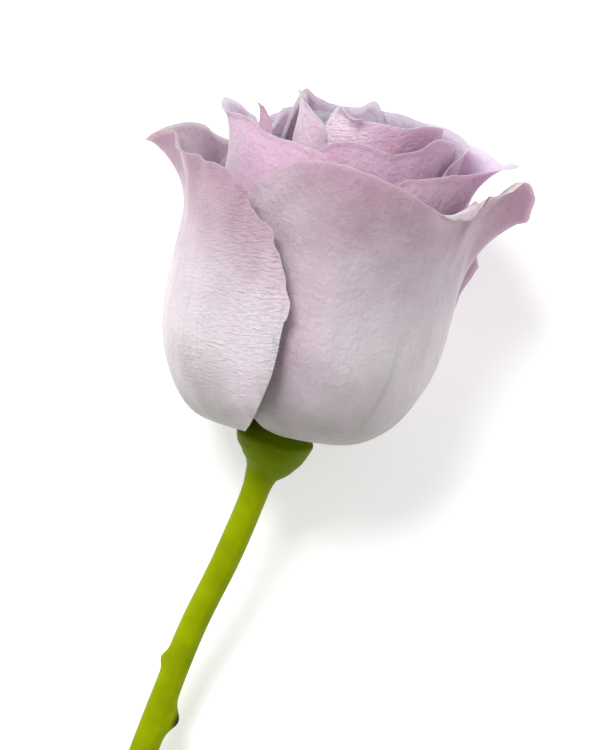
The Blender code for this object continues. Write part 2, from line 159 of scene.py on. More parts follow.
@dataclass
class Petal:
    """One petal.

    The first fields shape the blade as the solid's own do: azimuth is where its middle stands round
    the flower, 0 up and 90 on the flower's right side, and each entry of the rim is (place across the
    blade from -1 to 1, height, outward bend), with the bend built up over the last bend_depth.
    The rest is only for looks. roll is how far the rim turns back, with each entry (place, angle, depth
    of the strip that turns). ruffle is height, wavelength and reach of the waves that run round the
    margin, and ruffled is where they are strong, from 0 at the left root over the rim at 0.5 to 1 at the
    right root. nicks is the depth of the nicks in the margin, and swell is height and length of the soft
    hollows in the blade. Each dent is (place, share of the length, reach across, reach along, outward,
    upward, sideways move). Each bruise is (place, share of the length, reach across, reach along,
    strength): yellow where it is weak, brown where it is strong. pales are patches of pale pink, mostly
    painted light where a flank or margin is lit, and blushes are patches of mauve, painted shade beside
    an overlapping margin, both written the same way. flush is 0 for the palest lilac and 1 for the
    deepest mauve, dry is how far the margin has dried, and crinkle is how crinkled the skin is at each place.
    mauve, dry is how far the margin has dried, and crinkle is how crinkled the skin is at each place.
    crease is a line as (distance from the middle, length from the root), and rib is how green the rib is.
    """

    node: str
    name: str
    azimuth: float
    half_angle: float
    root_radius: float
    root_height: float
    claw: float
    body_radius: float
    body_height: float
    power: float
    rim: tuple
    bend_depth: float = 12.0
    slope: float = 0.0
    droop: tuple = (0.0, 0.0)
    widening: float = 0.8
    roll: tuple = ((-1, 25, 1.6), (1, 25, 1.6))
    ruffle: tuple = (0.16, 9.0, 4.0)
    ruffled: tuple = ((0, 0.3), (0.3, 1), (0.7, 1), (1, 0.3))
    nicks: float = 0.05
    swell: tuple = (0.14, 15.0)
    dents: tuple = ()
    bruises: tuple = ()
    pales: tuple = ()
    blushes: tuple = ()
    flush: float = 0.0
    dry: float = 0.1
    crinkle: tuple = ((-1, 0), (1, 0))
    crease: tuple = ()
    rib: float = 0.0
    seed: int = 0


def smooth_curve(points, places):
    """Heights of a smooth curve through points at the given places, with no overshoot between them."""
    xs = np.array([point[0] for point in points], dtype=float)
    ys = np.array([point[1] for point in points], dtype=float)
    steps = np.diff(xs)
    slopes = np.diff(ys) / steps
    before = slopes[:-1]
    after = slopes[1:]
    onward = before * after > 0
    blended = np.where(onward, 2 * before * after / np.where(onward, before + after, 1.0), 0.0)
    tangents = np.concatenate(([slopes[0]], blended, [slopes[-1]]))
    index = np.clip(np.searchsorted(xs, places, side="right") - 1, 0, len(steps) - 1)
    span = steps[index]
    t = (places - xs[index]) / span
    rise = ys[index + 1] - ys[index]
    start = tangents[index] * span
    end = tangents[index + 1] * span
    return ys[index] + start * t + (3 * rise - 2 * start - end) * t**2 + (start + end - 2 * rise) * t**3


def smoothstep(values):
    """Rises from 0 to 1 with no kink at either end."""
    values = np.clip(values, 0.0, 1.0)
    return values * values * (3 - 2 * values)


def running_length(points):
    """Length of a line of points up to each of them."""
    return np.concatenate(([0.0], np.cumsum(np.linalg.norm(np.diff(points, axis=0), axis=1))))


def ripple(places, wavelength, random):
    """Waves of about the given length, never quite alike, between about -1 and 1."""
    total = 0.0
    for stretch in (0.61, 1.0, 1.73):
        total = total + np.sin(2 * math.pi * (places / (wavelength * stretch) + random.random()))
    return total / 2


def body_profile(petal, top):
    """Radius, height, running length and share of the sag along the petal, before its rim is bent."""
    quarter = np.linspace(0.0, math.pi / 2, PROFILE_STEPS)
    exponent = 2 / petal.power
    reach = np.sin(quarter) ** exponent
    radius = petal.root_radius + (petal.body_radius - petal.root_radius) * reach
    height = petal.root_height + petal.body_height * (1 - np.cos(quarter) ** exponent)
    sag = np.concatenate((np.sin(math.pi * reach) ** 2, np.zeros(PROFILE_STEPS - 1)))
    straight = top + PROFILE_SPARE - height[-1]
    above = np.linspace(0.0, straight, PROFILE_STEPS)[1:]
    radius = np.concatenate((radius, np.full(len(above), radius[-1])))
    height = np.concatenate((height, height[-1] + above))
    length = np.concatenate(([0.0], np.cumsum(np.hypot(np.diff(radius), np.diff(height)))))
    return radius, height, length, sag


def petal_blade(petal, cells):
    """The petal's middle surface on a grid, with each point's length from the root and half width."""
    columns, rows = cells
    side = np.linspace(-1.0, 1.0, columns + 1)
    across = np.sign(side) * (1 - (1 - np.abs(side)) ** COLUMNS_TO_SIDE)
    shares = 1 - (1 - np.linspace(0.0, 1.0, rows * STEPS_PER_ROW + 1)) ** ROWS_TO_RIM
    rim_height = smooth_curve([(place, height) for place, height, bend in petal.rim], across)
    rim_bend = np.radians(smooth_curve([(place, bend) for place, height, bend in petal.rim], across))
    roll = np.radians(smooth_curve([(place, angle) for place, angle, depth in petal.roll], across))
    roll_depth = smooth_curve([(place, depth) for place, angle, depth in petal.roll], across)
    radius, height, length, sag = body_profile(petal, rim_height.max())
    full_width = math.radians(petal.half_angle) * petal.body_radius
    rising = slice(PROFILE_STEPS // 2, None)
    rim_length = np.interp(rim_height, height[rising], length[rising])
    blade_length = rim_length.max()
    along = rim_length[:, None] * shares[None, :]
    profile_radius = np.interp(along, length, radius)
    profile_height = np.interp(along, length, height)
    from_rim = rim_length[:, None] - (along[:, :-1] + along[:, 1:]) / 2
    bend = rim_bend[:, None] * np.clip(1 - from_rim / petal.bend_depth, 0.0, 1.0)
    bend = bend + roll[:, None] * np.clip((1 - from_rim / roll_depth[:, None]) / FOLD_SHARE, 0.0, 1.0)
    step_radius = np.diff(profile_radius, axis=1)
    step_height = np.diff(profile_height, axis=1)
    turned_radius = step_radius * np.cos(bend) + step_height * np.sin(bend)
    turned_height = step_height * np.cos(bend) - step_radius * np.sin(bend)
    start = np.zeros((columns + 1, 1))
    bent_radius = profile_radius[:, :1] + np.hstack((start, np.cumsum(turned_radius, axis=1)))
    bent_height = profile_height[:, :1] + np.hstack((start, np.cumsum(turned_height, axis=1)))
    opening = np.clip(along / (WIDE_AT * blade_length), 0.0, 1.0)
    widening = np.sin(opening * math.pi / 2) ** petal.widening
    half_width = petal.claw + (full_width - petal.claw) * widening
    angle = math.radians(petal.azimuth) + across[:, None] * half_width / profile_radius
    droop = np.interp(across, (-1, 1), petal.droop)
    bent_height = bent_height - droop[:, None] * np.interp(along, length, sag)
    slant = smoothstep(along / (SLANTED_AT * blade_length))
    spread = bent_radius + petal.slope * across[:, None] * slant
    points = np.stack((spread * np.sin(angle), bent_height, spread * np.cos(angle)), axis=-1)
    keep = slice(None, None, STEPS_PER_ROW)
    return points[:, keep], across, along[:, keep], half_width[:, keep]


def surface_directions(points):
    """Unit vectors across, along and out of a grid of points."""
    across = np.gradient(points, axis=0)
    along = np.gradient(points, axis=1)
    out = np.cross(across, along)
    return [part / np.maximum(np.linalg.norm(part, axis=-1, keepdims=True), 1e-9)
            for part in (across, along, out)]


def dress_blade(petal, cells):
    """The blade with its ruffles, nicks and dents, and what the materials read at each of its points."""
    points, across, along, half_width = petal_blade(petal, cells)
    random = np.random.default_rng(petal.seed)
    from_rim = along[:, -1:] - along
    from_left = (1 + across[:, None]) * half_width
    from_right = (1 - across[:, None]) * half_width
    margin = np.minimum(np.minimum(from_left, from_right), from_rim)
    left = running_length(points[0])
    rim = left[-1] + running_length(points[:, -1])
    right = rim[-1] + running_length(points[-1])[::-1].max() - running_length(points[-1])
    whole = right[0]
    height, wavelength, reach = petal.ruffle
    sideward, upward, outward = surface_directions(points)
    wave = np.zeros(margin.shape)
    walks = (left, rim, right)
    waves = [ripple(walk, wavelength, random) for walk in walks]
    bites = [ripple(walk, NICK_LENGTH, random) for walk in walks]
    strong = [smooth_curve(petal.ruffled, walk / whole) for walk in walks]
    fade = smoothstep(along / WAVES_FROM)
    wave += (strong[0] * waves[0])[None, :] * np.exp(-from_left / reach) * fade
    wave += (strong[1] * waves[1])[:, None] * np.exp(-from_rim / reach)
    wave += (strong[2] * waves[2])[None, :] * np.exp(-from_right / reach) * fade
    nick = petal.nicks * (strong[1] * bites[1])[:, None] * np.exp(-from_rim / NICK_REACH)
    side_nick = petal.nicks * ((strong[2] * bites[2])[None, :] * np.exp(-from_right / NICK_REACH)
                               - (strong[0] * bites[0])[None, :] * np.exp(-from_left / NICK_REACH)) * fade
    hollow, long = petal.swell
    width = across[:, None] * half_width
    swell = ripple(width * 0.9 + along * 0.5, long, random)
    swell = swell * ripple(along * 0.8 - width * 0.6, long * 1.6, random)
    pleat = ripple(across[:, None] * 24.0, 7.0, random) * 0.4
    lift = height * wave + hollow * (swell + pleat) * smoothstep(along / HOLLOWS_FROM)
    moved = points + outward * lift[..., None] + upward * nick[..., None]
    moved = moved + sideward * side_nick[..., None]

    def patch(place, share, wide, long):
        distance = ((across[:, None] - place) * half_width / wide) ** 2
        return np.exp(-distance - ((along - share * along[:, -1:]) / long) ** 2)

    for place, share, wide, long, out, up, aside in petal.dents:
        weight = patch(place, share, wide, long)[..., None]
        moved = moved + weight * (out * outward + up * np.array((0.0, 1.0, 0.0)) + aside * sideward)
    # The pale mark is mostly painted light, where a flank or margin is lit.
    marks = {"bruise": np.zeros(margin.shape), "pale": np.zeros(margin.shape),
             "flush": np.full(margin.shape, petal.flush)}
    # Each blush patch raises the flush as painted shade beside an overlapping margin.
    for kind, patches in (("bruise", petal.bruises), ("pale", petal.pales), ("flush", petal.blushes)):
        for *where, strength in patches:
            marks[kind] = np.maximum(marks[kind], strength * patch(*where))
    crinkle = smooth_curve(petal.crinkle, across)[:, None] * np.ones(margin.shape)
    crease = np.full(margin.shape, NO_CREASE)
    if petal.crease:
        ends = petal.crease[0][0], petal.crease[-1][0]
        beside = along - smooth_curve(petal.crease, np.clip(width, *ends))
        crease = np.where((width > ends[0]) & (width < ends[1]), beside, crease)
    rib = petal.rib * np.exp(-((width - RIB_ASIDE) / RIB_WIDTH) ** 2)
    facts = {
        "along": along / along[:, -1:].max(),
        "crease": crease,
        "margin": margin,
        **marks,
        "crinkle": crinkle,
        "rib": rib * smoothstep((RIB_END - along / along[:, -1:]) / RIB_FADE),
        "dry": np.full(margin.shape, petal.dry),
    }
    return press_flat(moved), facts, width, along


def lie(points):
    """Points of the flower's frame, in millimetres, in the row's frame, still in millimetres."""
    x, y, z = np.moveaxis(points, -1, 0)
    cos, sin = math.cos(AXIS_RISE), math.sin(AXIS_RISE)
    return np.stack((x, y * cos - z * sin, y * sin + z * cos), axis=-1) + np.array(LIES_AT)


def stand(points):
    """The way back from lie()."""
    x, y, z = np.moveaxis(points - np.array(LIES_AT), -1, 0)
    cos, sin = math.cos(AXIS_RISE), math.sin(AXIS_RISE)
    return np.stack((x, y * cos + z * sin, z * cos - y * sin), axis=-1)


def press_flat(points):
    """Petal tips that would reach through the surface are pressed flat against it."""
    lying = lie(points)
    lying[..., 2] = np.maximum(lying[..., 2], CLEARANCE)
    return stand(lying)


def large_petal(node, level, azimuth, half_angle, body_radius, rim, **looks):
    """A petal that stands on the hip, at one of the levels of its cone."""
    return Petal(
        node="petal_" + node,
        name=node + "_petal",
        azimuth=azimuth,
        half_angle=half_angle,
        root_radius=ROOT_RADIUS - ROOT_RADIUS_STEP * level,
        root_height=ROOT_HEIGHT + ROOT_HEIGHT_STEP * level,
        claw=CLAW_HALF_WIDTH - CLAW_STEP * level,
        body_radius=body_radius,
        body_height=BODY_HEIGHT,
        power=BODY_POWER - BODY_POWER_STEP * level,
        rim=rim,
        **looks,
    )


def outer_petals():
    return [
        large_petal(
            "outer_left", 0, -79.5, 72, 25.0,
            ((-1, 30, 0), (-0.8, 45.5, 6), (-0.65, 47.2, 22), (-0.55, 49.2, 26), (-0.47, 50.2, 36),
             (-0.41, 50.9, 58), (-0.33, 51.0, 74), (-0.22, 50.5, 76), (-0.13, 51.0, 70), (-0.05, 51.8, 54),
             (0.03, 52.2, 38), (0.08, 51.0, 34), (0.12, 49.4, 32), (0.2, 48.8, 18),
             (0.38, 49.0, 8), (0.5, 48.3, 4), (0.61, 46.6, 2), (0.7, 43.6, 0), (0.81, 41, 0), (0.9, 36.5, 0),
             (1, 28, 0)),
            bend_depth=17, slope=0.7, droop=(4.5, -1.2), widening=0.95, seed=11, flush=0.0, dry=0.1,
            ruffle=(0.36, 7.0, 4.5),
            dents=((1.0, 0.9, 6, 10, -1.1, 0, 0), (1.0, 0.5, 6, 9, 1.1, 0, 0)),
            ruffled=((0, 0.2), (0.35, 0.3), (0.5, 0.3), (0.6, 0.8), (0.7, 1.2), (0.8, 0.7), (1, 0.2)),
            nicks=0.1,
            crinkle=((-1, 0), (-0.1, 0.15), (0.35, 0.5), (0.6, 1), (1, 1)),
            crease=((14.8, 28.3), (18.7, 27.8), (24.0, 26.9), (28.5, 26.5), (31.2, 27.1)),
            bruises=((-0.24, 1.0, 3.4, 1.8, 0.45), (-0.26, 0.96, 4.5, 4.5, 0.28),
                     (-0.05, 0.988, 2.6, 0.35, 0.62), (-0.415, 0.95, 0.3, 1.6, 0.5)),
            # Painted light: pale patches where the margin catches light.
            pales=((0.12, 0.95, 0.7, 3.5, 0.8), (0.9, 0.85, 5.0, 9.0, 0.4)),
        ),
        large_petal(
            "outer_front", 1, 48, 78, 24.5,
            ((-1, 49.5, 0), (-0.8, 54.1, 0), (-0.6, 55.4, 0), (-0.42, 54.6, 0), (-0.2, 52.4, 4),
             (-0.03, 50.3, 6), (0.04, 50.8, 8), (0.13, 53.6, 16), (0.17, 55.4, 21), (0.195, 54.6, 24),
             (0.25, 55.9, 32), (0.29, 56.8, 40), (0.36, 59.6, 50),
             (0.44, 57.6, 63), (0.54, 51.6, 58), (0.66, 48.5, 36), (0.85, 42, 8), (1, 34, 0)),
            bend_depth=18, slope=0.6, droop=(-1.0, 1.6), seed=12, flush=0.0, dry=0.4,
            dents=((-1.0, 0.85, 8, 24, -3.2, 0, 0), (-0.85, 0.45, 11, 16, -2.8, 0, 0),
                   (-1.0, 0.97, 7, 10, 0, -0.6, -3.2), (-1.0, 0.82, 7, 9, 0, 0, -2.8)),
            bruises=((0.32, 0.985, 0.5, 0.4, 0.7), (0.45, 1.0, 5.0, 0.25, 0.2), (0.14, 1.0, 3.0, 0.4, 0.3)),
            # The first two pale patches give the turned-back flap its pale pink; the two at the left corner
            # are painted light.
            pales=((0.09, 1.0, 4.5, 3.6, 1.0), (0.28, 1.0, 2.0, 2.5, 0.7), (-1.0, 0.95, 6.5, 8.0, 0.7),
                   (-0.8, 0.82, 6.0, 8.0, 0.3)),
            # Painted shade: a mauve patch beside the margin of the outer left petal, where that margin shades
            # this petal.
            blushes=((-0.64, 0.45, 5.5, 16.0, 0.9),),
            nicks=0.12,
            roll=((-1, 10, 1.6), (-0.08, 15, 0.6), (0.0, 120, 0.9), (0.08, 165, 1.7), (0.17, 165, 3.2),
                  (0.19, 20, 2.4), (1, 20, 1.6)),
            rib=1.0,
        ),
        large_petal(
            "outer_back_right", 0, 156, 44, 26.2,
            ((-1, 36.5, 24), (-0.8, 42, 20), (-0.5, 46.5, 35), (0, 51.8, 84), (0.3, 46.5, 40), (0.6, 40, 8),
             (0.8, 33, 0), (1, 26, 0)),
            bend_depth=16, droop=(2.2, 0.0), seed=13, flush=0.0, dry=0.3, roll=((-1, 0, 1), (1, 0, 1)),
        ),
        large_petal(
            "outer_back_left", 1, 200, 58, 23.3,
            ((-1, 34, 0), (-0.6, 43, 3), (-0.2, 48.5, 35), (0, 53.4, 92), (0.12, 49, 25), (0.22, 45.5, 0),
             (0.35, 44, 0), (1, 33, 0)),
            bend_depth=18.5, seed=14, flush=0.0, dry=0.3, roll=((-1, 0, 1), (1, 0, 1)),
        ),
    ]


def second_petals():
    return [
        large_petal(
            "second_right", 2, 80, 65, 22.5,
            ((-1, 48, 0), (-0.75, 54.9, 0), (-0.4, 55.9, 0), (-0.15, 56.6, 12), (0.08, 61.2, 70),
             (0.3, 57.6, 35), (0.6, 57, 10), (1, 46, 0)),
            bend_depth=13, seed=21, flush=1.0,
        ),
        large_petal(
            "second_back_left", 2, 212, 54, 21.9,
            ((-1, 42, 0), (-0.5, 52, 3), (0, 53, 8), (0.45, 47.5, 2), (0.75, 42, 0), (1, 34, 0)),
            seed=22, flush=0.3,
        ),
        large_petal(
            "second_left", 3, -62, 68, 20.0,
            ((-1, 47, 0), (-0.9, 52.3, 0), (-0.72, 54.6, 8), (-0.5, 57.5, 38), (-0.36, 55.8, 30),
             (-0.15, 56.2, 12), (0.1, 57, 4), (0.3, 55.8, 2), (0.56, 56.2, 2), (0.75, 55.8, 0), (1, 47, 0)),
            bend_depth=10, slope=0.9, seed=23, flush=1.0, dry=0.2,
            bruises=((-0.41, 1.0, 0.9, 0.5, 0.6), (-0.53, 1.0, 0.7, 1.0, 0.75)),
            # Painted light: a pale patch on the lit flank beside the outer left petal's margin.
            pales=((-0.25, 0.75, 3.8, 14.0, 0.85),),
        ),
        large_petal(
            "second_front", 4, 10, 62, 20.0,
            ((-1, 40, 0), (-0.5, 48, 0), (0, 50, 0), (0.5, 48, 0), (1, 40, 0)),
            slope=0.8, seed=24, flush=0.6,
        ),
        large_petal(
            "second_back_right", 4, 145, 62, 20.6,
            ((-1, 42, 0), (-0.5, 53, 4), (0, 55, 12), (0.5, 53, 4), (1, 42, 0)),
            seed=25, flush=0.6,
        ),
    ]


def third_petals():
    return [
        large_petal(
            "third_right", 5, 105, 60, 19.5,
            ((-1, 50, 0), (-0.6, 57.5, 2), (-0.25, 58.8, 6), (0.2, 58.8, 2), (0.6, 58, 0), (1, 50, 0)),
            bend_depth=8, seed=31, flush=0.7,
        ),
        large_petal(
            "third_front", 6, 24, 62, 17.3,
            ((-1, 46, 0), (-0.8, 52, 0), (-0.62, 55.6, 2), (-0.48, 57.8, 6), (-0.22, 58.4, 2), (0.04, 57.5, 0),
             (0.26, 58.8, 0), (0.48, 61.0, 2), (0.68, 60.3, 0), (0.88, 58.5, 0), (1, 50, 0)),
            slope=1.2, bend_depth=6, seed=32, flush=0.85,
            bruises=((0.03, 1.0, 0.9, 0.35, 0.75),),
        ),
        large_petal(
            "third_left", 6, -88, 40, 15.6,
            ((-1, 48, 0), (-0.4, 56, 0), (0, 58.0, 20), (0.3, 58, 5), (0.7, 57, 0), (1, 50, 0)),
            bend_depth=6, seed=33, flush=0.6,
        ),
        large_petal(
            "third_back", 6, 180, 60, 17.2,
            ((-1, 46, 0), (-0.5, 55, 0), (0, 57, 6), (0.5, 55.9, 0), (0.75, 55.0, 0), (1, 46, 0)),
            seed=34, flush=0.6,
        ),
    ]


def heart_petals():
    """The petals of the closed heart: name, azimuth, half angle, body radius, slope, rim and looks."""
    rows = (
        ("spout", -72, 62, 9.8, 1.6,
         ((-1, 50, 0), (-0.5, 60.5, 2), (-0.1, 62, 14), (0.3, 61, 6), (0.5, 59.6, 2), (0.7, 58.8, 0),
          (0.86, 56, 0), (1, 50, 0)),
         # Painted light: a pale patch on the lit pillar.
         {"pales": ((0.1, 0.9, 7.0, 9.0, 0.9),),
          "roll": ((-1, 25, 1.6), (0.3, 25, 1.6), (0.5, 0, 1), (1, 0, 1))}),
        ("back_wall", 202, 55, 11.8, -0.4,
         ((-1, 54, 0), (-0.62, 60.3, 2), (-0.45, 58.6, 0), (-0.15, 58.0, 0), (0.2, 58.8, 0), (0.55, 60.4, 0),
          (1, 52, 0)), {}),
        ("inner_front", 35, 70, 13.4, 1.7,
         ((-1, 50, 0), (-0.93, 55, 0), (-0.85, 59.5, 0), (-0.76, 62.2, 0), (-0.6, 63.8, 0), (-0.46, 63, 0),
          (-0.36, 61.6, 0), (0.05, 61.4, 0), (0.35, 62.0, 3), (0.78, 60.8, 8), (1, 54, 0)),
         {"roll": ((-1, 0, 1), (-0.8, 0, 1.5), (-0.68, 45, 2.8), (-0.55, 80, 3.4), (-0.41, 50, 2.5),
                   (-0.34, 15, 1.6), (1, 15, 1.6)),
          "dents": ((-0.95, 0.9, 4.0, 14, -1.6, 0, 0),),
          "ruffle": (0.2, 4.4, 3.5),
          "ruffled": ((0, 0.2), (0.38, 1.0), (0.44, 1.0), (0.47, 0.3), (1, 0.3)),
          # Painted light: a pale patch on the lit, turned-back face.
          "pales": ((-0.62, 0.97, 6.0, 6.0, 1.0),),
          "crinkle": ((-1, 1), (-0.4, 1), (-0.2, 0.4), (1, 0.2)),
          "bruises": ((0.85, 1.0, 0.9, 0.5, 0.75), (-0.44, 1.0, 0.6, 0.5, 0.7))}),
        ("inner_back_right", 128, 48, 13.6, 0.0,
         ((-1, 52, 0), (-0.4, 59.6, 0), (0.2, 59.3, 0), (0.7, 58.6, 0), (1, 54, 0)), {}),
        ("curl_back", 220, 75, 7.8, 0.4, ((-1, 52, 0), (-0.5, 57.5, 20), (0.2, 57.5, 20), (1, 53, 0)), {}),
        ("curl_right", 60, 90, 7.0, 1.2, ((-1, 52, 0), (-0.4, 58.5, 0), (0.4, 58.5, 0), (1, 53, 0)), {}),
        ("curl_left", -40, 100, 4.8, 0.8, ((-1, 51, 0), (-0.3, 57.5, 0), (0.3, 57.5, 0), (1, 52, 0)), {}),
        ("curl_centre", 150, 120, 2.5, 0.3, ((-1, 51, 0), (0, 57, 0), (1, 52, 0)), {}),
    )
    common = {"ruffle": (0.1, 7.0, 3.0), "swell": (0.1, 11.0), "flush": 0.45}
    return [
        Petal(
            node="heart",
            name="heart_" + name,
            azimuth=azimuth,
            half_angle=half_angle,
            root_radius=HEART_ROOT_RADIUS + HEART_ROOT_SPREAD * body_radius,
            root_height=HEART_ROOT_TOP - HEART_ROOT_STEP * body_radius,
            claw=HEART_CLAW,
            body_radius=body_radius,
            body_height=HEART_BODY_HEIGHT,
            power=HEART_BODY_POWER,
            rim=rim,
            slope=slope,
            bend_depth=HEART_BEND_DEPTH,
            seed=41 + count,
            **{**common, **looks},
        )
        for count, (name, azimuth, half_angle, body_radius, slope, rim, looks) in enumerate(rows)
    ]


def grid_mesh(name, cells):
    """A flat grid, and the column and row of each of its vertices."""
    columns, rows = cells
    grid = bmesh.new()
    bmesh.ops.create_grid(grid, x_segments=columns, y_segments=rows, size=1.0)
    mesh = bpy.data.meshes.new(name)
    grid.to_mesh(mesh)
    grid.free()
    flat = np.empty(len(mesh.vertices) * 3)
    mesh.vertices.foreach_get("co", flat)
    places = (flat.reshape(-1, 3) + 1) / 2
    return mesh, np.rint(places[:, 0] * columns).astype(int), np.rint(places[:, 1] * rows).astype(int)


def petal_piece(petal, cells, thickness, finishes):
    """The petal as a thin closed blade, in place of its solid."""
    mesh, column, row = grid_mesh(petal.name, cells)
    points, facts, width, length = dress_blade(petal, cells)
    placed = lie(points)[column, row] * MM
    mesh.vertices.foreach_set("co", placed.astype(np.float32).ravel())
    for name, values in facts.items():
        layer = mesh.attributes.new(name, "FLOAT", "POINT")
        layer.data.foreach_set("value", values[column, row].astype(np.float32))
    corners = np.empty(len(mesh.loops), dtype=np.int32)
    mesh.loops.foreach_get("vertex_index", corners)
    blade = np.stack((width[column, row], length[column, row]), axis=-1)
    mesh.uv_layers.new(name="blade").uv.foreach_set("vector", blade[corners].astype(np.float32).ravel())
    for finish in finishes:
        mesh.materials.append(finish)
    mesh.shade_smooth()
    piece = bpy.data.objects.new(petal.name, mesh)
    bpy.context.scene.collection.objects.link(piece)
    taper = piece.vertex_groups.new(name="taper")
    levels = np.rint(smoothstep(facts["margin"] / TAPER_REACH) * TAPER_LEVELS)[column, row]
    for level in np.unique(levels):
        taper.add(np.flatnonzero(levels == level).tolist(), level / TAPER_LEVELS, "REPLACE")
    solid = piece.modifiers.new("thickness", "SOLIDIFY")
    solid.thickness = thickness
    solid.vertex_group = taper.name
    solid.thickness_vertex_group = MARGIN_SHARE
    solid.offset = 0.0
    solid.use_even_offset = True
    solid.material_offset = 1
    solid.material_offset_rim = 2 if petal.dry > DRIED else 0
    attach(piece, BODY)
    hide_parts(petal.node)
    return piece


def add(tree, kind, inputs=(), **settings):
    """Adds a node with its settings, and sets or links its inputs, where a node stands for its output."""
    made = tree.nodes.new("ShaderNode" + kind)
    for name, value in settings.items():
        setattr(made, name, value)
    for key, value in dict(inputs).items():
        if isinstance(value, bpy.types.Node):
            value = next(socket for socket in value.outputs if socket.enabled)
        if isinstance(value, bpy.types.NodeSocket):
            tree.links.new(value, made.inputs[key])
        else:
            made.inputs[key].default_value = value
    return made


def new_material(name):
    """An empty material and its node tree."""
    made = bpy.data.materials.new(name)
    made.use_nodes = True
    made.node_tree.nodes.clear()
    return made, made.node_tree


